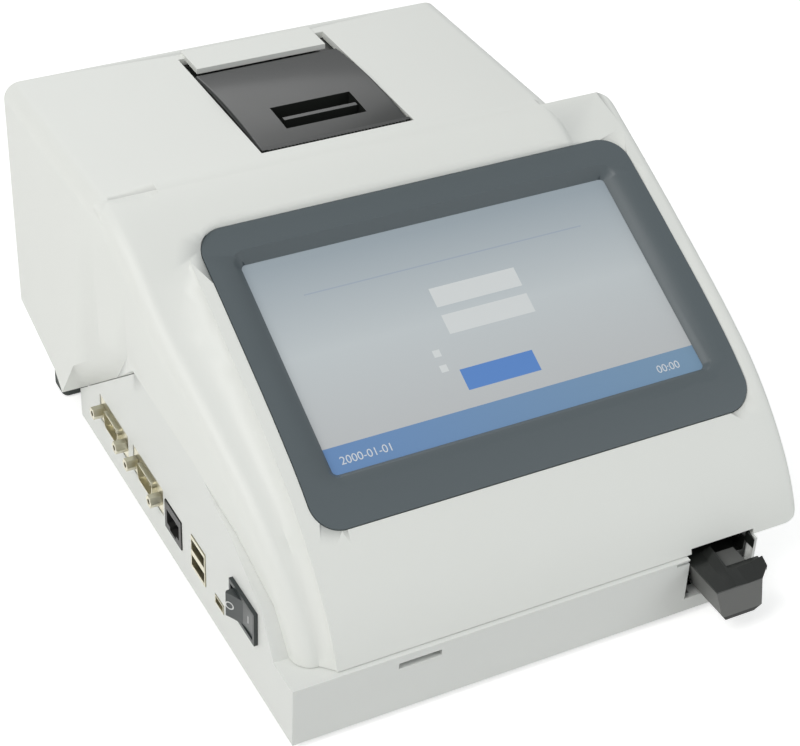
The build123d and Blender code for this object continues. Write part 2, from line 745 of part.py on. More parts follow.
with BuildPart() as usb_stack:
    span(-base_left - 0.4, -base_left + 17, usb_y - 6.6, usb_y + 6.6, board_top + seat_gap,
         board_top + 15.7)
    for z in (3.9, 11.6):
        span(-base_left - 1, -base_left + 10, usb_y - 6.1, usb_y + 6.1, board_top + z - 2.5,
             board_top + z + 2.5, mode=Mode.SUBTRACT)
        span(-base_left + 0.6, -base_left + 10.5, usb_y - 5.6, usb_y + 5.6, board_top + z + 0.2,
             board_top + z + 2.0)
usb_stack.part.label = "usb_stack"
export_step(usb_stack.part, "parts/usb_stack.step")

with BuildPart() as mini_usb_port:
    span(-base_left - 0.2, -base_left + 9, mini_usb_y - 3.9, mini_usb_y + 3.9,
         board_top + seat_gap, board_top + 4.0)
    span(-base_left - 1, -base_left + 6, mini_usb_y - 3.4, mini_usb_y + 3.4, board_top + 0.6,
         board_top + 3.5, mode=Mode.SUBTRACT)
    span(-base_left + 1, -base_left + 6.5, mini_usb_y - 2.4, mini_usb_y + 2.4, board_top + 1.6,
         board_top + 2.5)
mini_usb_port.part.label = "mini_usb_port"
export_step(mini_usb_port.part, "parts/mini_usb_port.step")

with BuildPart() as dc_jack:
    span(-64.5, -55.5, tail_y - wall - 12, tail_y - wall - seat_gap, wall + seat_gap, 12.8)
    rod(-60, tail_y - 1.6, 7.6, 3.5, 4, axis="Y")
    rod(-60, tail_y - 4, 7.6, 2.75, 10, axis="Y", mode=Mode.SUBTRACT)
    rod(-60, tail_y - 6, 7.6, 1.0, 9, axis="Y")
dc_jack.part.label = "dc_jack"
export_step(dc_jack.part, "parts/dc_jack.step")

# rocker switch on the connector panel
pivot_x = -base_left + 2.0
with BuildPart() as switch_frame:
    span(-base_left - 1.6, -base_left - 0.05, switch_y - 11.0, switch_y + 11.0, switch_z - 7.4,
         switch_z + 7.4)
    span(-base_left - 0.1, -base_left + 16, switch_y - 10.1, switch_y + 10.1, switch_z - 6.6,
         switch_z + 6.6)
    span(-base_left - 2, -base_left + 9, switch_y - 9.6, switch_y + 9.6, switch_z - 5.75,
         switch_z + 5.75, mode=Mode.SUBTRACT)
    rod(pivot_x, switch_y, switch_z, pivot_r + pivot_clearance, 14, mode=Mode.SUBTRACT)
    for y in (-6, 0, 6):
        span(-base_left + 15.5, -base_left + 23, switch_y + y - 0.4, switch_y + y + 0.4,
             switch_z - 2.4, switch_z + 2.4)
switch_frame.part.label = "switch_frame"
export_step(switch_frame.part, "parts/switch_frame.step")

rocker_plane = Plane(
    origin=datum + Vector(pivot_x, switch_y, switch_z - rocker_height / 2),
    x_dir=(-sin(radians(rocker_rest_tilt)), cos(radians(rocker_rest_tilt)), 0),
    z_dir=(0, 0, 1),
)
with BuildPart() as switch_rocker:
    with BuildSketch(rocker_plane):
        with BuildLine():
            half = rocker_length / 2
            RadiusArc((-half + 0.6, 5.2), (0, 3.4), -60)
            RadiusArc((0, 3.4), (half - 0.6, 5.2), -60)
            Polyline((half - 0.6, 5.2), (half, 4.4), (half - 0.9, 0.4), (2.2, -2.2), (-2.2, -2.2),
                     (-half + 0.9, 0.4), (-half, 4.4), (-half + 0.6, 5.2))
        make_face()
    extrude(amount=rocker_height)
    rod(pivot_x, switch_y, switch_z, pivot_r, rocker_height + 1.4)
switch_rocker.part.label = "switch_rocker"
export_step(switch_rocker.part, "parts/switch_rocker.step")

# receipt printer: bucket, thermal head, tear bar, lid with the platen
with BuildPart() as printer_frame:
    span(bay_left - 4.6, bay_right + 4.6, bay_front - 4.4, bay_rear + 3.4, ceiling - 1.8,
         ceiling - seat_gap)
    span(bay_left + 0.6, bay_right - 0.6, bay_front + 0.6, bay_rear - 0.6, 88, ceiling - 0.4)
    span(bay_left + 1.8, bay_right - 1.8, bay_front + 3, tongue_front + 2, 108, 140,
         mode=Mode.SUBTRACT)
    span(bay_left + 1.8, bay_right - 1.8, bay_front + 19, tongue_front + 2, 90, 109,
         mode=Mode.SUBTRACT)
    scoop = [
        e for e in printer_frame.edges().filter_by(Axis.X)
        if abs((e @ 0.5).Z - datum.Z - 90) < 0.1 and e.length > 50
    ]
    fillet(scoop, radius=14)
    span(bay_left + 3, bay_right - 3, tongue_front + 4, bay_rear - 2.5, 84, 124, mode=Mode.SUBTRACT)
    span(bay_left + 0.6, bay_right - 0.6, bay_front + 0.6, bay_front + 3, ceiling - 1, 133.4)
    # room in both side walls for the lid's rear edge, which swings down behind its pin
    for x0 in (lid_left - lid_gap, bay_right - bucket_wall - lid_gap):
        with BuildSketch(side_plane.offset(x0)):
            with Locations((hinge_y, hinge_z)):
                Circle(lid_swing_r)
                Circle(pin_boss_r, mode=Mode.SUBTRACT)
            with Locations((hinge_y - lid_swing_r, hinge_z)):
                Rectangle(2 * lid_swing_r, 2 * lid_swing_r, mode=Mode.SUBTRACT)
        extrude(amount=bucket_wall + lid_gap - (bay_right - lid_right) + lid_gap, mode=Mode.SUBTRACT)
    rod((bay_left + bay_right) / 2, hinge_y, hinge_z, hinge_r + shaft_clearance, 80, axis="X",
        mode=Mode.SUBTRACT)
    rod(bay_right - 1, platen_y, platen_z - 8.1, 2.2, 6, axis="X", mode=Mode.SUBTRACT)
    for x, y in frame_screw_spots:
        rod(x, y, ceiling, 1.4, 8, mode=Mode.SUBTRACT)
printer_frame.part.label = "printer_frame"
export_step(printer_frame.part, "parts/printer_frame.step")

with BuildPart() as printer_screws:
    for x, y in frame_screw_spots:
        rod(x, y, ceiling - 1.8 - seat_gap - 0.9, 2.5, 1.8)
        rod(x, y, ceiling - 0.4, 1.25, 5)
printer_screws.part.label = "printer_screws"
export_step(printer_screws.part, "parts/printer_screws.step")

with BuildPart() as tear_bar:
    span(bay_left + 0.8, bay_right - 0.8, bay_front + 1.3, bay_front + 3.0, 133.5, 135.2)
    tooth = 1.5
    count = int((bay_right - bay_left - 6) / tooth)
    with BuildSketch(plan_plane.offset(134.3)):
        with BuildLine():
            start = (bay_left + bay_right - count * tooth) / 2
            edge = [(start, bay_front + 1.2)]
            for k in range(count):
                edge.append((start + (k + 0.5) * tooth, bay_front + 0.4))
                edge.append((start + (k + 1) * tooth, bay_front + 1.1))
            Polyline(*edge, (start + count * tooth, bay_front + 1.4), (start, bay_front + 1.4),
                     edge[0])
        make_face()
    extrude(amount=0.9)
tear_bar.part.label = "tear_bar"
export_step(tear_bar.part, "parts/tear_bar.step")

with BuildPart() as print_head:
    head_rear = platen_y - platen_r - 0.35
    span(-20, 33, bay_front + 3 + seat_gap, head_rear - 1.2, 110, 129)
    span(-18, 31, head_rear - 1.3, head_rear, 118, 129)
    for k in range(7):
        span(-16 + k * 7, -14 + k * 7, head_rear - 1.3, head_rear + 1.5, 110.5, 115.5)
print_head.part.label = "print_head"
export_step(print_head.part, "parts/print_head.step")

with BuildPart() as printer_lid:
    with BuildSketch(side_plane.offset(lid_left)):
        with BuildLine():
            ThreePointArc((lid_front, 134.4), (204, 136.6), (lid_rear, 134.8))
            Polyline((lid_rear, 134.8), (lid_rear, 132.3), (lid_front + 1.2, 132.3),
                     (lid_front, 133.3), (lid_front, 134.4))
        make_face()
    extrude(amount=lid_right - lid_left)
    upper = [
        e for e in printer_lid.edges()
        if e.geom_type == GeomType.CIRCLE and e.length > 50
    ]
    fillet(upper, radius=1.2)
    # finger recess near the front edge with its rib
    span(-11.5, 26.5, 180.5, 199.5, 129.4, 132.4)
    span(-10, 25, 182, 198, 130.6, 140, mode=Mode.SUBTRACT)
    span(-8, 24, 188.2, 190.4, 130.5, 135.6)
    # ears of the platen and of the hinge
    for x0, x1 in ((-24.4, -22.8), (33.8, 35.4)):
        with BuildSketch(side_plane.offset(x0)):
            with BuildLine():
                Polyline((platen_y - 3.6, 132.5), (platen_y - 3.6, platen_z - 1.5),
                         (platen_y - 1.8, platen_z - 3.6), (platen_y + 1.8, platen_z - 3.6),
                         (platen_y + 3.6, platen_z - 1.5), (platen_y + 8, 132.5),
                         (platen_y - 3.6, 132.5))
            make_face()
        extrude(amount=x1 - x0)
    for x0, x1 in ((-24.2, -21.2), (34.2, 37.2)):
        with BuildSketch(side_plane.offset(x0)):
            with BuildLine():
                Polyline((hinge_y - 7, 132.5), (hinge_y - 3.4, hinge_z - 1.4),
                         (hinge_y - 1.6, hinge_z - 3.4), (hinge_y + 1.4, hinge_z - 3.4),
                         (lid_rear, hinge_z - 2.4), (lid_rear, 132.5), (hinge_y - 7, 132.5))
            make_face()
        extrude(amount=x1 - x0)
    rod(6.5, platen_y, platen_z, shaft_r + shaft_clearance, 90, axis="X", mode=Mode.SUBTRACT)
    rod(6.5, hinge_y, hinge_z, hinge_r + shaft_clearance, 90, axis="X", mode=Mode.SUBTRACT)
printer_lid.part.label = "printer_lid"
export_step(printer_lid.part, "parts/printer_lid.step")

with BuildPart() as lid_hinge_pin:
    rod((bay_left + bay_right) / 2, hinge_y, hinge_z, hinge_r, bay_right - bay_left - 1.2, axis="X")
lid_hinge_pin.part.label = "lid_hinge_pin"
export_step(lid_hinge_pin.part, "parts/lid_hinge_pin.step")

with BuildPart() as platen_shaft:
    rod(6.35, platen_y, platen_z, shaft_r, 61.7, axis="X")
platen_shaft.part.label = "platen_shaft"
export_step(platen_shaft.part, "parts/platen_shaft.step")

with BuildPart() as platen_roller:
    rod(5.5, platen_y, platen_z, platen_r, 54, axis="X")
    rod(5.5, platen_y, platen_z, shaft_r + 0.02, 60, axis="X", mode=Mode.SUBTRACT)
platen_roller.part.label = "platen_roller"
export_step(platen_roller.part, "parts/platen_roller.step")

feed_distance = (platen_gear_teeth + feed_pinion_teeth) * feed_module / 2 + 0.05
with BuildPart() as platen_gear:
    gear_plane = Plane(origin=datum + Vector(35.7, platen_y, platen_z), x_dir=(0, 0, -1),
                       z_dir=(1, 0, 0))
    with BuildSketch(gear_plane):
        with BuildLine():
            outline = gear_outline(platen_gear_teeth, feed_module, feed_slack)
            Polyline(*outline, outline[0])
        make_face()
        Circle(shaft_r + 0.02, mode=Mode.SUBTRACT)
    extrude(amount=1.5)
platen_gear.part.label = "platen_gear"
export_step(platen_gear.part, "parts/platen_gear.step")

feed_z = platen_z - feed_distance
with BuildPart() as feed_pinion:
    phase = pi / feed_pinion_teeth
    gear_plane = Plane(origin=datum + Vector(35.7, platen_y, feed_z),
                       x_dir=(0, sin(phase), cos(phase)), z_dir=(1, 0, 0))
    with BuildSketch(gear_plane):
        with BuildLine():
            outline = gear_outline(feed_pinion_teeth, feed_module, feed_slack)
            Polyline(*outline, outline[0])
        make_face()
        Circle(1.02, mode=Mode.SUBTRACT)
    extrude(amount=1.5)
feed_pinion.part.label = "feed_pinion"
export_step(feed_pinion.part, "parts/feed_pinion.step")

with BuildPart() as feed_motor:
    rod(bay_right + 7.5, platen_y, feed_z, 7.5, 14, axis="X")
    span(bay_right - 0.5, bay_right + 0.6, platen_y - 12, platen_y + 12, feed_z - 4.5, feed_z + 4.5)
    rod(bay_right - 1.7, platen_y, feed_z, 1.0, 4.6, axis="X")
feed_motor.part.label = "feed_motor"
export_step(feed_motor.part, "parts/feed_motor.step")

# card tray: cap and carrier, front block, rack
with BuildPart() as card_tray:
    cap_front = [(74.0, 22.9), (74.0, 23.5), (79.5, 23.4), (82.5, 23.55), (88.0, 23.1),
                 (94.0, 23.3), (98.2, 24.2), (98.2, 22.9)]
    cap_rear = [(74.0, 22.9), (74.0, 23.6), (81.0, 23.7), (84.8, 26.0), (89.0, 25.0),
                (96.0, 25.4), (tray_right, 28.0), (tray_right, 22.9)]
    with BuildSketch(front_plane.offset(tray_reach)):
        with BuildLine():
            Polyline(*cap_front, cap_front[0])
        make_face()
    with BuildSketch(front_plane.offset(-4)):
        with BuildLine():
            Polyline(*cap_rear, cap_rear[0])
        make_face()
    loft(ruled=True)
    with BuildSketch(plan_plane.offset(20)):
        with BuildLine():
            Polyline((94.5, -tray_reach - 1), (94.5, -tray_reach), (98.6, -tray_reach + 3.6),
                     (106, -tray_reach + 3.6), (106, -tray_reach - 1), (94.5, -tray_reach - 1))
        make_face()
    extrude(amount=12, mode=Mode.SUBTRACT)
    # carrier behind the cap with the guide legs
    span(76.5, tray_right, 3.9, 70, 14, 21.5)
    span(76.5, tray_right, 3.9, 7, 21.4, 23.2)
    span(84.8, 84.8 + card_width, 5.5, 5.5 + card_length, 17.5, 30, mode=Mode.SUBTRACT)
    span(88, 98, 20, 56, 13, 18, mode=Mode.SUBTRACT)
    # ramp from the finger dip down into the card pocket
    with BuildSketch(side_plane.offset(84.8)):
        with BuildLine():
            Polyline((-9, 23.4), (-4, 22.6), (5.6, 17.5), (8, 17.5), (8, 32), (-9, 32), (-9, 23.4))
        make_face()
    extrude(amount=card_width, mode=Mode.SUBTRACT)
    for y in (11, 56):
        span(rod_left_x - 3, rod_left_x + 3, y, y + 10, 3.0, 14.1)
        span(rod_right_x - 3, rod_right_x + 3, y, y + 10, 3.0, 14.1)
    for x in (rod_left_x, rod_right_x):
        rod(x, 40, rod_z, rod_r + 0.04, 80, axis="Y", mode=Mode.SUBTRACT)
card_tray.part.label = "card_tray"
export_step(card_tray.part, "parts/card_tray.step")

with BuildPart() as tray_front:
    with BuildSketch(front_plane.offset(tray_reach - 0.4)):
        with BuildLine():
            Polyline((tray_left, 22.8), (94.8, 22.8), (96.8, 9.0), (93.5, 7.0), (80.5, 7.0),
                     (78.3, 10.0), (tray_left, 22.8))
        make_face()
    extrude(amount=-(tray_reach + 2))
tray_front.part.label = "tray_front"
export_step(tray_front.part, "parts/tray_front.step")

pitch_x = pinion_x + gear_module * pinion_teeth / 2 + 0.05
pitch = pi * gear_module
rack_z = 15.0
with BuildPart() as tray_rack:
    with BuildSketch(plan_plane.offset(rack_z)):
        with BuildLine():
            lead = tan(radians(pressure_angle))
            thick = (pitch - gear_slack) / 2
            profile = [(76.4, 10.5), (pitch_x + 1.15, 10.5)]
            for k in range(-14, 2):
                y = pinion_y + (k + 0.5) * pitch
                profile += [
                    (pitch_x + 1.15, y - thick / 2 - 1.15 * lead),
                    (pitch_x - 0.75, y - thick / 2 + 0.75 * lead),
                    (pitch_x - 0.75, y + thick / 2 - 0.75 * lead),
                    (pitch_x + 1.15, y + thick / 2 + 1.15 * lead),
                ]
            profile += [(pitch_x + 1.15, 63.5), (76.4, 63.5)]
            Polyline(*profile, profile[0])
        make_face()
    extrude(amount=5)
tray_rack.part.label = "tray_rack"
export_step(tray_rack.part, "parts/tray_rack.step")

with BuildPart() as tray_rails:
    for x in (rod_left_x, rod_right_x):
        rod(x, 60.8, rod_z, rod_r, 114, axis="Y")
tray_rails.part.label = "tray_rails"
export_step(tray_rails.part, "parts/tray_rails.step")

with BuildPart() as drive_pinion:
    with BuildSketch(Plane(origin=datum + Vector(pinion_x, pinion_y, rack_z - 0.2))):
        with BuildLine():
            outline = gear_outline(pinion_teeth, gear_module, gear_slack)
            Polyline(*outline, outline[0])
        make_face()
    extrude(amount=5.4)
    rod(pinion_x, pinion_y, rack_z - 1.8, 3.0, 3.4)
    rod(pinion_x, pinion_y, rack_z, 1.02, 30, mode=Mode.SUBTRACT)
drive_pinion.part.label = "drive_pinion"
export_step(drive_pinion.part, "parts/drive_pinion.step")

bracket_z = 22.0
motor_size = 20.0
with BuildPart() as drive_motor:
    with BuildSketch(Plane(origin=datum + Vector(pinion_x, pinion_y, bracket_z + 1.6))):
        RectangleRounded(motor_size, motor_size, 3)
    extrude(amount=24)
    rod(pinion_x, pinion_y, bracket_z - 3.5, 1.0, 13)
    rod(pinion_x, pinion_y, bracket_z + 0.6, 4.0, 2.2)
drive_motor.part.label = "drive_motor"
export_step(drive_motor.part, "parts/drive_motor.step")

with BuildPart() as motor_bracket:
    span(49, 73, 44, 70, bracket_z, bracket_z + 1.5)
    span(49, 50.5, 44, 70, wall + seat_gap, bracket_z + 0.1)
    span(49, 71, 68.5, 70, wall + seat_gap, bracket_z + 0.1)
    span(40, 50.5, 44, 70, wall + seat_gap, wall + seat_gap + 1.5)
    rod(pinion_x, pinion_y, bracket_z, 4.2, 8, mode=Mode.SUBTRACT)
motor_bracket.part.label = "motor_bracket"
export_step(motor_bracket.part, "parts/motor_bracket.step")

# fluorescence optics over the card path
lens_x = 93.0
lens_y = 90.0
with BuildPart() as optics_housing:
    span(77, 101, 74, 106, 27, 62)
    span(77, 96, 105.9, 126, 44, 62)
    span(77, 96, 121, 126, wall + seat_gap, 62)
    span(72, 96, 121, 136, wall + seat_gap, 5.2)
    span(79.5, 98.5, 77, 103, 30, 62.1, mode=Mode.SUBTRACT)
    rod(lens_x, lens_y, 28, 4.1, 8, mode=Mode.SUBTRACT)
optics_housing.part.label = "optics_housing"
export_step(optics_housing.part, "parts/optics_housing.step")

with BuildPart() as optics_lens:
    rod(lens_x, lens_y, 28.2, 4.0, 5.6)
optics_lens.part.label = "optics_lens"
export_step(optics_lens.part, "parts/optics_lens.step")

with BuildPart() as optics_board:
    span(74, 102, 72, 124, 62 + seat_gap, 63.7)
    span(80, 92, 80, 92, 63.6, 65)
    span(82, 96, 108, 114, 63.6, 70)
    rod(lens_x, lens_y, 57, 3.2, 10.4)
    rod(lens_x - 8, lens_y, 55, 2.5, 14.4)
optics_board.part.label = "optics_board"
export_step(optics_board.part, "parts/optics_board.step")

with BuildPart() as id_card_reader:
    span(-52.5, -28.5, wall + 0.3, 27, 14 + seat_gap, lip_height - seam_gap - wall - seat_gap)
    span(-49.3, -32.7, 0, 24, 20.4, 22.6, mode=Mode.SUBTRACT)
id_card_reader.part.label = "id_card_reader"
export_step(id_card_reader.part, "parts/id_card_reader.step")

with BuildPart() as home_sensor:
    span(58, 71.5, 86, 98, wall + seat_gap, 13.5)
    span(64, 71.5, 90, 94, 9, 13.6, mode=Mode.SUBTRACT)
    for y in (88, 96):
        rod(56.5, y, 6, 0.5, 4, axis="X")
home_sensor.part.label = "home_sensor"
export_step(home_sensor.part, "parts/home_sensor.step")

# feet and housing screws
with BuildPart() as front_feet:
    for x, y in foot_spots:
        rod(x, y, -foot_height / 2 - 0.025, foot_r, foot_height - 0.05)
    soles = front_feet.faces().sort_by(Axis.Z)[:2]
    chamfer([e for f in soles for e in f.edges()], length=0.6)
front_feet.part.label = "front_feet"
export_step(front_feet.part, "parts/front_feet.step")

with BuildPart() as rear_feet:
    for x in rear_feet_x:
        span(x - 5.8, x + 5.8, rear_foot_y - 6.6, rear_foot_y + 6.6, -foot_height, 19)
    fillet(rear_feet.edges().filter_by(Axis.Z), radius=2.5)
    soles = rear_feet.faces().sort_by(Axis.Z)[:2]
    chamfer([e for f in soles for e in f.edges()], length=0.8)
    for x in rear_feet_x:
        span(x - 4.3, x + 4.3, rear_foot_y - 5.3, rear_foot_y + 5.3, leg_split - 0.1, 30,
             mode=Mode.SUBTRACT)
rear_feet.part.label = "rear_feet"
export_step(rear_feet.part, "parts/rear_feet.step")

with BuildPart() as housing_screws:
    for x, y in post_spots:
        rod(x, y, counterbore_depth - seat_gap - 1.2, 2.8, 2.4)
        rod(x, y, counterbore_depth + 5.5, 1.5, 13)
housing_screws.part.label = "housing_screws"
export_step(housing_screws.part, "parts/housing_screws.step")
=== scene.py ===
import json
import math

import bmesh
import bpy
from mathutils import Euler, Matrix, Vector

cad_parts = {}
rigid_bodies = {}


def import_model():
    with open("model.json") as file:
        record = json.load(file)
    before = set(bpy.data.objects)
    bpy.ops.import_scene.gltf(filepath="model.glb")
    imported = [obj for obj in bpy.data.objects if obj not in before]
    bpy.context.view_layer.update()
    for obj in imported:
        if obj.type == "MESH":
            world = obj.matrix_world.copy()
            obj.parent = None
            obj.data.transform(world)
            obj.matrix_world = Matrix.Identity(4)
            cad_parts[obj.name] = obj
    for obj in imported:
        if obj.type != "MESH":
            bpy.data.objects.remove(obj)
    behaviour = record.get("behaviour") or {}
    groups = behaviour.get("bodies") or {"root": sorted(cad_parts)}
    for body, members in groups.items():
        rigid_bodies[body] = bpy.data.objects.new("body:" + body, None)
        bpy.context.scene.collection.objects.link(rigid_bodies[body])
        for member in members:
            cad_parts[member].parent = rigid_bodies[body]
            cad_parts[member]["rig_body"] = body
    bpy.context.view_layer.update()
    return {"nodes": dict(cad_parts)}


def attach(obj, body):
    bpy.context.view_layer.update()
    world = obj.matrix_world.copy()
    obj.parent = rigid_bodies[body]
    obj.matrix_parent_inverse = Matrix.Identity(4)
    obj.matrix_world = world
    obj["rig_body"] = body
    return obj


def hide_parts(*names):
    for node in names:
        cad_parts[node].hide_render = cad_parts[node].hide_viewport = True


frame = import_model()
nodes = frame["nodes"]
print("frame loaded:", len(nodes), "CAD nodes")

mm = 0.001

# the datum in the frame: the middle of the rear housing, the base's front face and its underside
datumShift = Vector((-13.0, -121.75, 2.5)) * mm


def place(x, y, z):  # a point of the datum frame, in millimetres, as a frame point in metres
    return Vector((x, y, z)) * mm + datumShift


# the display's own plane: u to the right, v up the slope, w out of the glass, sizes in millimetres
screen = {
    "centre": place(24.56, 85.3, 94.39),
    "tilt": math.radians(26.3),
    "viewWide": 154.0,
    "viewTall": 88.0,
}
screenTurn = Matrix.Translation(screen["centre"]) @ Matrix.Rotation(screen["tilt"], 4, "X")

camera = {
    "place": (-0.31909, -0.57758, 0.53095),
    "turn": (54.038, -2.144, -27.319),  # degrees about x, y and z
    "lens": 91.88,
    "sensor": 36.0,
    "near": 0.01,
    "far": 50.0,
}

studio = {
    "floorSize": 12.0,
    "floorDrop": 0.2 * mm,
    "floorRough": 0.9,
    "floorColour": (0.80, 0.80, 0.79),
    "floorLift": 0.55,  # extra white that only the camera and mirrors see
    "skyColour": (0.96, 0.98, 1.0),
    "skyStrength": 0.40,
    # name, place, aim, size, watts, colour
    "lamps": [
        ("keyLamp", (-1.3, -0.4, 1.5), (0.0, 0.0, 0.08), 1.2, 19.0, (1.0, 0.99, 0.97)),
        ("fillLamp", (1.4, -1.3, 0.9), (0.0, 0.0, 0.05), 1.4, 7.0, (0.95, 0.98, 1.0)),
        ("rearLamp", (0.3, 1.6, 1.3), (0.0, 0.0, 0.10), 1.2, 6.0, (1.0, 1.0, 1.0)),
    ],
}


class Wire:  # a shader value that takes part in sums
    def __init__(self, finish, socket):
        self.finish, self.socket = finish, socket

    def sum(self, operation, *values):
        return self.finish.node("ShaderNodeMath", {"operation": operation}, dict(enumerate(values)))

    def __add__(self, other):
        return self.sum("ADD", self, other)

    def __sub__(self, other):
        return self.sum("SUBTRACT", self, other)

    def __mul__(self, other):
        return self.sum("MULTIPLY", self, other)

    def __rsub__(self, other):
        return self.sum("SUBTRACT", other, self)

    def __lt__(self, other):
        return self.sum("LESS_THAN", self, other)

    __radd__ = __add__
    __rmul__ = __mul__

    def size(self):
        return self.sum("ABSOLUTE", self)

    def top(self, other):
        return self.sum("MAXIMUM", self, other)


class Finish:  # one material and its nodes
    def __init__(self, name, **constants):
        self.material = bpy.data.materials.new(name)
        self.material.use_nodes = True
        self.tree = self.material.node_tree
        self.shader = self.tree.nodes["Principled BSDF"]
        for socket, value in constants.items():
            self.shader.inputs[socket].default_value = value

    def node(self, kind, settings=None, inputs=None, out=0):
        made = self.tree.nodes.new(kind)
        for key, value in (settings or {}).items():
            setattr(made, key, value)
        for key, value in (inputs or {}).items():
            if isinstance(value, Wire):
                self.tree.links.new(value.socket, made.inputs[key])
            else:
                made.inputs[key].default_value = value
        return Wire(self, made.outputs[out])

    def feed(self, socket, value):
        self.tree.links.new(value.socket, self.shader.inputs[socket])

    def place(self):
        return self.node("ShaderNodeTexCoord", out="Object")

    def axes(self, vector):
        split = self.node("ShaderNodeSeparateXYZ", None, {"Vector": vector})
        owner = split.socket.node
        return [Wire(self, owner.outputs[k]) for k in range(3)]

    def noise(self, scale, detail=2.0, rough=0.5, vector=None):
        inputs = {"Vector": vector or self.place(), "Scale": scale, "Detail": detail}
        inputs["Roughness"] = rough
        return self.node("ShaderNodeTexNoise", None, inputs)

    def blend(self, share, first, second):
        inputs = {"Factor": share, 6: first, 7: second}
        return self.node("ShaderNodeMix", {"data_type": "RGBA"}, inputs, out=2)

    def spread(self, value, low, high, start=0.0, end=1.0):
        inputs = {"Value": value, "From Min": start, "From Max": end, "To Min": low, "To Max": high}
        return self.node("ShaderNodeMapRange", None, inputs)

    def bump(self, height, distance, strength):
        inputs = {"Height": height, "Distance": distance, "Strength": strength}
        return self.node("ShaderNodeBump", None, inputs)


def shade(colour, factor):
    return (*[min(1.0, c * factor) for c in colour[:3]], 1.0)


# how often each pattern repeats in a metre
often = {
    "tone": 9.0,
    "rimTone": 30.0,
    "wear": 38.0,
    "stain": 120.0,
    "dust": 260.0,
    "mask": 300.0,
    "tracks": 420.0,
    "film": 700.0,
    "rockerGrain": 2400.0,
    "rimGrain": 2800.0,
    "metalLine": (900.0, 900.0, 40.0),
}


# moulded plastic with the sparked grain of its tool, a slow change of tone and a little handling wear
def moulded(name, colour, rough, grain, depth, tone, coat=0.0):
    finish = Finish(name, IOR=1.48)
    finish.shader.inputs["Coat Weight"].default_value = coat
    finish.shader.inputs["Coat Roughness"].default_value = 0.12
    slow = finish.noise(often["tone"])
    fine = finish.noise(1.0 / (grain * mm), 3.0, 0.6)
    finish.feed("Base Color", finish.blend(slow, shade(colour, 1 - tone), shade(colour, 1 + tone)))
    patches = finish.noise(often["wear"], 4.0, 0.55)
    finish.feed("Roughness", finish.spread(patches * 0.6 + fine * 0.4, rough - 0.05, rough + 0.07))
    finish.feed("Normal", finish.bump(fine, depth * mm, 0.7))
    return finish.material


# rolled, plated or ground metal with fine lines along one axis
def metal(name, colour, rough, tone=0.08):
    finish = Finish(name, IOR=1.6, Metallic=1.0)
    stretched = {"Vector": finish.place(), "Scale": often["metalLine"]}
    lines = finish.noise(1.0, 3.0, 0.6, finish.node("ShaderNodeMapping", None, stretched))
    stain = finish.noise(often["stain"], 3.0, 0.6)
    finish.feed("Base Color", finish.blend(stain, shade(colour, 1 - tone), shade(colour, 1 + tone)))
    finish.feed("Roughness", finish.spread(lines * 0.5 + stain * 0.5, rough - 0.08, rough + 0.10))
    finish.feed("Normal", finish.bump(lines, 0.006 * mm, 0.5))
    return finish.material


# solder mask over copper tracks
def boardMask(name, colour):
    finish = Finish(name)
    finish.shader.inputs["Coat Weight"].default_value = 0.3
    cells = {"Vector": finish.place(), "Scale": often["tracks"]}
    track = finish.node("ShaderNodeTexVoronoi", {"distance": "MANHATTAN"}, cells)
    copper = track < 0.42
    finish.feed("Base Color", finish.blend(copper, shade(colour, 1.0), shade(colour, 1.7)))
    finish.feed("Roughness", finish.spread(finish.noise(often["mask"]), 0.32, 0.48))
    finish.feed("Normal", finish.bump(copper, 0.02 * mm, 0.5))
    return finish.material


# lens glass with a trace of dust
def clearGlass(name, colour):
    finish = Finish(name, Roughness=0.04, IOR=1.5)
    finish.shader.inputs["Transmission Weight"].default_value = 0.9
    dust = finish.noise(often["dust"], 3.0)
    finish.feed("Base Color", finish.blend(dust, shade(colour, 0.97), shade(colour, 1.0)))
    return finish.material


# grey tray front whose lower band is painted near-black, a painted shade for its down-facing bottom
# chamfer
def plasticWithShadedFoot(name, colour, footShadeColour, footShadeTop):
    finish = Finish(name, IOR=1.48)
    height = finish.axes(finish.place())[2]
    fine = finish.noise(often["rimGrain"], 3.0, 0.6)
    slow = finish.noise(often["rimTone"])
    tone = finish.blend(slow, shade(colour, 0.95), shade(colour, 1.05))
    # below the band's top height the colour is painted shade for the down-facing chamfer, not a black
    # moulding
    finish.feed("Base Color", finish.blend(height < footShadeTop, tone, shade(footShadeColour, 1)))
    finish.feed("Roughness", finish.spread(fine, 0.44, 0.58))
    finish.feed("Normal", finish.bump(fine, 0.02 * mm, 0.7))
    return finish.material


rocker = {
    "middle": place(-99.0, 40.2, 30.7),
    "reach": 4.8 * mm,  # from the pivot to each mark
    "ring": 1.5 * mm,
    "line": 0.26 * mm,  # half the width of a printed line
    "bar": 1.7 * mm,  # half the bar's length
}


# rocker plastic with a printed ring on the rear end and a printed bar on the front end
def markedRocker(name, colour, ink):
    finish = Finish(name, IOR=1.48)
    finish.shader.inputs["Coat Weight"].default_value = 0.15
    y, z = finish.axes(finish.place())[1:]
    along = y - rocker["middle"].y
    up = z - rocker["middle"].z
    away = along - rocker["reach"]
    radius = finish.node("ShaderNodeMath", {"operation": "SQRT"}, {0: away * away + up * up})
    ring = (radius - rocker["ring"]).size() < rocker["line"]
    front = along + rocker["reach"]
    bar = (up.size() < rocker["bar"]) * (front.size() < rocker["line"])
    finish.feed("Base Color", finish.blend(ring.top(bar), shade(colour, 1), shade(ink, 1)))
    fine = finish.noise(often["rockerGrain"], 3.0, 0.6)
    finish.feed("Roughness", finish.spread(fine, 0.30, 0.42))
    finish.feed("Normal", finish.bump(fine, 0.006 * mm, 0.6))
    return finish.material


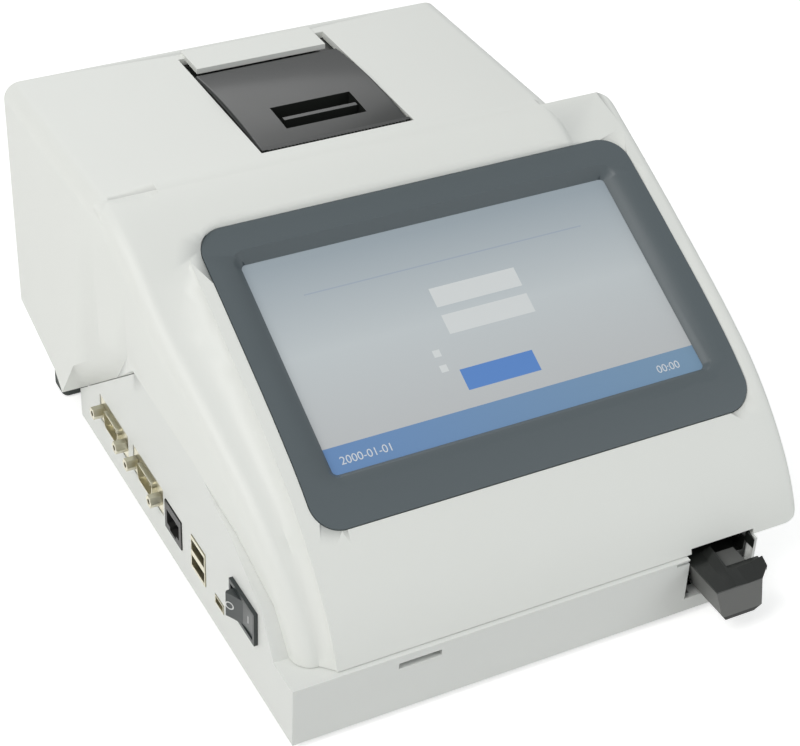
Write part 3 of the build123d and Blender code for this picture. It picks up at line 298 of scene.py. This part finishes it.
picture = {
    "top": (0.335, 0.390, 0.430),  # linear colours of the display's picture
    "middle": (0.520, 0.560, 0.575),
    "bottom": (0.480, 0.490, 0.495),
    "bar": (0.135, 0.255, 0.480),
    "barEnd": (0.185, 0.300, 0.430),
    "button": (0.100, 0.235, 0.560),
    "field": (0.640, 0.665, 0.665),
    "rule": (0.330, 0.385, 0.460),
    "glow": 0.12,
    "middleStop": 0.55,  # where the middle colour lies on the way up
    # colour, middle along u and v, width and height in millimetres
    "panels": [
        ("rule", 0.0, 29.0, 120.0, 0.5),
        ("field", 6.0, 14.5, 37.0, 8.4),
        ("field", 6.0, 2.5, 37.0, 8.4),
        ("field", -21.0, -8.0, 3.0, 3.0),
        ("field", -21.0, -14.6, 3.0, 3.0),
        ("button", 0.0, -21.2, 31.0, 9.0),
        ("bar", 0.0, -38.5, 170.0, 11.6),
    ],
}


# the display's picture, drawn with sums on the glass's own plane
def displayPicture(name):
    finish = Finish(name, IOR=1.45)
    finish.shader.inputs["Coat Weight"].default_value = 0.25
    finish.shader.inputs["Coat Roughness"].default_value = 0.30
    tilt = screen["tilt"]
    x, y, z = finish.axes(finish.place())
    centre = screen["centre"]
    u = (x - centre.x) * (1.0 / mm)
    v = ((y - centre.y) * math.cos(tilt) + (z - centre.z) * math.sin(tilt)) * (1.0 / mm)
    halfWide = screen["viewWide"] / 2
    halfTall = screen["viewTall"] / 2
    rise = finish.spread(v, 0.0, 1.0, -halfTall, halfTall)
    colour = finish.node("ShaderNodeValToRGB", None, {"Fac": rise})
    stops = colour.socket.node.color_ramp.elements
    stops[0].color = shade(picture["bottom"], 1)
    stops[1].color = shade(picture["top"], 1)
    stops.new(picture["middleStop"]).color = shade(picture["middle"], 1)
    along = finish.spread(u, 0.0, 1.0, -halfWide, halfWide)
    barColour = finish.blend(along, shade(picture["bar"], 1), shade(picture["barEnd"], 1))
    for tint, uMiddle, vMiddle, wide, tall in picture["panels"]:
        inside = ((u - uMiddle).size() < wide / 2) * ((v - vMiddle).size() < tall / 2)
        fill = barColour if tint == "bar" else shade(picture[tint], 1)
        colour = finish.blend(inside, colour, fill)
    finish.feed("Base Color", colour)
    finish.feed("Emission Color", colour)
    finish.shader.inputs["Emission Strength"].default_value = picture["glow"]
    finish.feed("Roughness", finish.spread(finish.noise(often["film"]), 0.30, 0.42))
    return finish.material


# colour, roughness, grain and its depth in millimetres, change of tone, coat
plastics = {
    "shellWhite": ((0.83, 0.845, 0.805), 0.46, 0.30, 0.010, 0.012),
    "baseWhite": ((0.80, 0.815, 0.785), 0.50, 0.30, 0.012, 0.012),
    "bezelGrey": ((0.105, 0.128, 0.138), 0.42, 0.25, 0.010, 0.03),
    "printerBlack": ((0.016, 0.018, 0.016), 0.34, 0.22, 0.008, 0.10),
    "lidBlack": ((0.016, 0.018, 0.016), 0.30, 0.8, 0.004, 0.08, 0.25),
    "trayBlack": ((0.017, 0.019, 0.017), 0.30, 0.25, 0.008, 0.08, 0.2),
    "switchBlack": ((0.035, 0.042, 0.042), 0.38, 0.25, 0.010, 0.06),
    "jackBlack": ((0.030, 0.030, 0.028), 0.40, 0.25, 0.010, 0.06),
    "gearWhite": ((0.74, 0.72, 0.66), 0.42, 0.4, 0.010, 0.03),
    "opticsBlack": ((0.025, 0.025, 0.025), 0.62, 0.3, 0.02, 0.08),
    "footRubber": ((0.052, 0.062, 0.057), 0.72, 0.4, 0.03, 0.10),
    "rollerRubber": ((0.045, 0.045, 0.045), 0.66, 0.3, 0.02, 0.10),
    "motorBlack": ((0.055, 0.055, 0.055), 0.35, 0.6, 0.010, 0.05),
    "panelSilver": ((0.55, 0.58, 0.60), 0.25, 0.5, 0.004, 0.03),
    "digitWhite": ((0.70, 0.74, 0.78), 0.45, 0.5, 0.002, 0.01),
}

# colour and roughness
metals = {
    "portMetal": ((0.66, 0.63, 0.50), 0.32),
    "zincSteel": ((0.62, 0.63, 0.62), 0.36),
    "screwSteel": ((0.55, 0.55, 0.54), 0.30),
    "groundSteel": ((0.66, 0.66, 0.65), 0.16),
    "motorSteel": ((0.52, 0.52, 0.51), 0.34),
    "headAluminium": ((0.66, 0.66, 0.66), 0.38),
    "gearBrass": ((0.72, 0.54, 0.24), 0.28),
}

# the near-black band at the tray front's foot is painted shade, not a black part
trayFootShade = {"colour": (0.125, 0.128, 0.122), "footShadeColour": (0.015, 0.016, 0.015), "footShadeTop": 11.2 * mm}

finishes = {name: moulded(name, *row) for name, row in plastics.items()}
finishes.update({name: metal(name, *row) for name, row in metals.items()})
finishes["trayGrey"] = plasticWithShadedFoot("trayGrey", **trayFootShade)
finishes["rockerBlack"] = markedRocker("rockerBlack", (0.050, 0.058, 0.058), (0.62, 0.63, 0.62))
finishes["boardGreen"] = boardMask("boardGreen", (0.025, 0.16, 0.07))
finishes["lensGlass"] = clearGlass("lensGlass", (0.92, 0.97, 0.98))
finishes["displayPicture"] = displayPicture("displayPicture")
print("finishes made:", len(finishes))

# the finish of every CAD node
coats = {
    "shellWhite": ["upper_shell"],
    "baseWhite": ["base_shell"],
    "bezelGrey": ["screen_bezel"],
    "displayPicture": ["display_glass"],
    "panelSilver": ["lcd_module"],
    "zincSteel": ["lcd_bracket", "motor_bracket"],
    "screwSteel": ["display_screws", "board_screws", "printer_screws", "housing_screws"],
    "boardGreen": ["main_board", "optics_board"],
    "portMetal": ["serial_port_rear", "serial_port_front", "port_jackscrews", "usb_stack",
                  "mini_usb_port"],
    "jackBlack": ["lan_jack", "dc_jack", "id_card_reader", "home_sensor"],
    "switchBlack": ["switch_frame"],
    "rockerBlack": ["switch_rocker"],
    "printerBlack": ["printer_frame", "tear_bar"],
    "headAluminium": ["print_head"],
    "lidBlack": ["printer_lid"],
    "groundSteel": ["lid_hinge_pin", "platen_shaft", "tray_rails"],
    "rollerRubber": ["platen_roller"],
    "gearWhite": ["platen_gear", "tray_rack"],
    "gearBrass": ["feed_pinion", "drive_pinion"],
    "motorSteel": ["feed_motor"],
    "trayBlack": ["card_tray"],
    "trayGrey": ["tray_front"],
    "motorBlack": ["drive_motor"],
    "opticsBlack": ["optics_housing"],
    "lensGlass": ["optics_lens"],
    "footRubber": ["front_feet", "rear_feet"],
}


def coat(piece, finish):
    piece.data.materials.clear()
    piece.data.materials.append(finishes[finish])


for finish, names in coats.items():
    for name in names:
        coat(nodes[name], finish)


def bodyOf(name):
    return nodes[name]["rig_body"]


# a new piece from a bmesh: named, finished and riding on its body
def makePiece(name, mesh, finish, body, smooth=0.0):
    data = bpy.data.meshes.new(name)
    mesh.to_mesh(data)
    mesh.free()
    if smooth:
        data.polygons.foreach_set("use_smooth", [True] * len(data.polygons))
        data.set_sharp_from_angle(angle=math.radians(smooth))
    piece = bpy.data.objects.new(name, data)
    bpy.context.scene.collection.objects.link(piece)
    coat(piece, finish)
    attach(piece, body)
    return piece


smoothing = {
    "merge": 0.001 * mm,
    "flat": math.radians(0.2),  # faces closer than this to one plane become one face
    # node, piece, finish, slot and the angle in degrees past which an edge stays sharp
    "rows": [
        ("upper_shell", "upperCover", "shellWhite", "shell_white", 24),
        ("base_shell", "baseTub", "baseWhite", "base_white", 30),
        ("screen_bezel", "bezelRing", "bezelGrey", "bezel_grey", 30),
    ],
}


# a merged copy of a CAD node, smooth across its curved faces, that stands for the node
def smoothCopy(node, name, finish, slot, smooth):
    mesh = bmesh.new()
    mesh.from_mesh(nodes[node].data)
    bmesh.ops.remove_doubles(mesh, verts=mesh.verts, dist=smoothing["merge"])
    flat = smoothing["flat"]
    bmesh.ops.dissolve_limit(mesh, angle_limit=flat, verts=mesh.verts, edges=mesh.edges)
    piece = makePiece(name, mesh, finish, bodyOf(node), smooth)
    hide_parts(node)


for row in smoothing["rows"]:
    smoothCopy(*row)
print("smooth shells made")

# date and time on the display's bottom bar, in millimetres
counter = {
    "rows": [("dateDigits", "2000-01-01", -74.0), ("timeDigits", "00:00", 60.0)],  # name, text, left end
    "level": -40.2,
    "tall": 4.6,
    "thick": 0.02,
    "lift": 0.03,
    "merge": 0.0001,
}


def makeDigits(name, words, left):
    curve = bpy.data.curves.new(name, "FONT")
    curve.body = words
    curve.size = counter["tall"] * mm
    curve.extrude = counter["thick"] * mm
    text = bpy.data.objects.new(name, curve)
    mesh = bmesh.new()
    mesh.from_mesh(bpy.data.meshes.new_from_object(text))
    bmesh.ops.remove_doubles(mesh, verts=mesh.verts, dist=counter["merge"] * mm)
    spot = Vector((left, counter["level"], counter["lift"])) * mm
    bmesh.ops.transform(mesh, matrix=screenTurn @ Matrix.Translation(spot), verts=mesh.verts)
    bpy.data.objects.remove(text)
    makePiece(name, mesh, "digitWhite", bodyOf("display_glass"))


for row in counter["rows"]:
    makeDigits(*row)
print("digits made")


def makeFloor():
    mesh = bmesh.new()
    bmesh.ops.create_grid(mesh, x_segments=1, y_segments=1, size=studio["floorSize"] / 2)
    bmesh.ops.translate(mesh, verts=mesh.verts, vec=(0, 0, -studio["floorDrop"]))
    data = bpy.data.meshes.new("floor")
    mesh.to_mesh(data)
    mesh.free()
    floor = bpy.data.objects.new("floor", data)
    bpy.context.scene.collection.objects.link(floor)
    finish = Finish("floorPaper", Roughness=studio["floorRough"])
    finish.shader.inputs["Base Color"].default_value = (*studio["floorColour"], 1)
    path = finish.node("ShaderNodeLightPath")
    seen = [Wire(finish, path.socket.node.outputs[k]) for k in
            ("Is Camera Ray", "Is Glossy Ray", "Is Transmission Ray")]
    lift = seen[0].top(seen[1]).top(seen[2]) * studio["floorLift"]
    glow = finish.node("ShaderNodeEmission", None, {"Color": (1, 1, 1, 1), "Strength": lift})
    total = finish.node("ShaderNodeAddShader", None, {0: Wire(finish, finish.shader.outputs[0]), 1: glow})
    finish.tree.links.new(total.socket, finish.tree.nodes["Material Output"].inputs["Surface"])
    data.materials.append(finish.material)


def makeSky():
    world = bpy.data.worlds.new("studioSky")
    world.use_nodes = True
    bpy.context.scene.world = world
    tree = world.node_tree
    ground = tree.nodes["Background"]
    ground.inputs["Color"].default_value = (*studio["skyColour"], 1)
    ground.inputs["Strength"].default_value = studio["skyStrength"]
    seen = tree.nodes.new("ShaderNodeBackground")
    seen.inputs["Color"].default_value = (1, 1, 1, 1)
    seen.inputs["Strength"].default_value = 1.0
    path = tree.nodes.new("ShaderNodeLightPath")
    either = tree.nodes.new("ShaderNodeMath")
    either.operation = "MAXIMUM"
    tree.links.new(path.outputs["Is Camera Ray"], either.inputs[0])
    tree.links.new(path.outputs["Is Transmission Ray"], either.inputs[1])
    mix = tree.nodes.new("ShaderNodeMixShader")
    tree.links.new(either.outputs[0], mix.inputs["Fac"])
    tree.links.new(ground.outputs[0], mix.inputs[1])
    tree.links.new(seen.outputs[0], mix.inputs[2])
    tree.links.new(mix.outputs[0], tree.nodes["World Output"].inputs["Surface"])


def makeLamp(name, spot, aim, size, watts, colour):
    data = bpy.data.lights.new(name, "AREA")
    data.shape = "DISK"
    data.size = size
    data.energy = watts
    data.color = colour
    lamp = bpy.data.objects.new(name, data)
    bpy.context.scene.collection.objects.link(lamp)
    lamp.location = spot
    lamp.rotation_euler = (Vector(aim) - Vector(spot)).to_track_quat("-Z", "Y").to_euler()


def makeCamera():
    data = bpy.data.cameras.new("photoCamera")
    data.lens = camera["lens"]
    data.sensor_width = camera["sensor"]
    data.sensor_fit = "HORIZONTAL"
    data.clip_start = camera["near"]
    data.clip_end = camera["far"]
    seat = bpy.data.objects.new("photoCamera", data)
    bpy.context.scene.collection.objects.link(seat)
    seat.location = camera["place"]
    seat.rotation_euler = Euler([math.radians(a) for a in camera["turn"]], "XYZ")
    bpy.context.scene.camera = seat


makeFloor()
makeSky()
for lamp in studio["lamps"]:
    makeLamp(*lamp)
makeCamera()
bpy.context.scene.view_settings.view_transform = "Standard"
print("studio and camera placed")
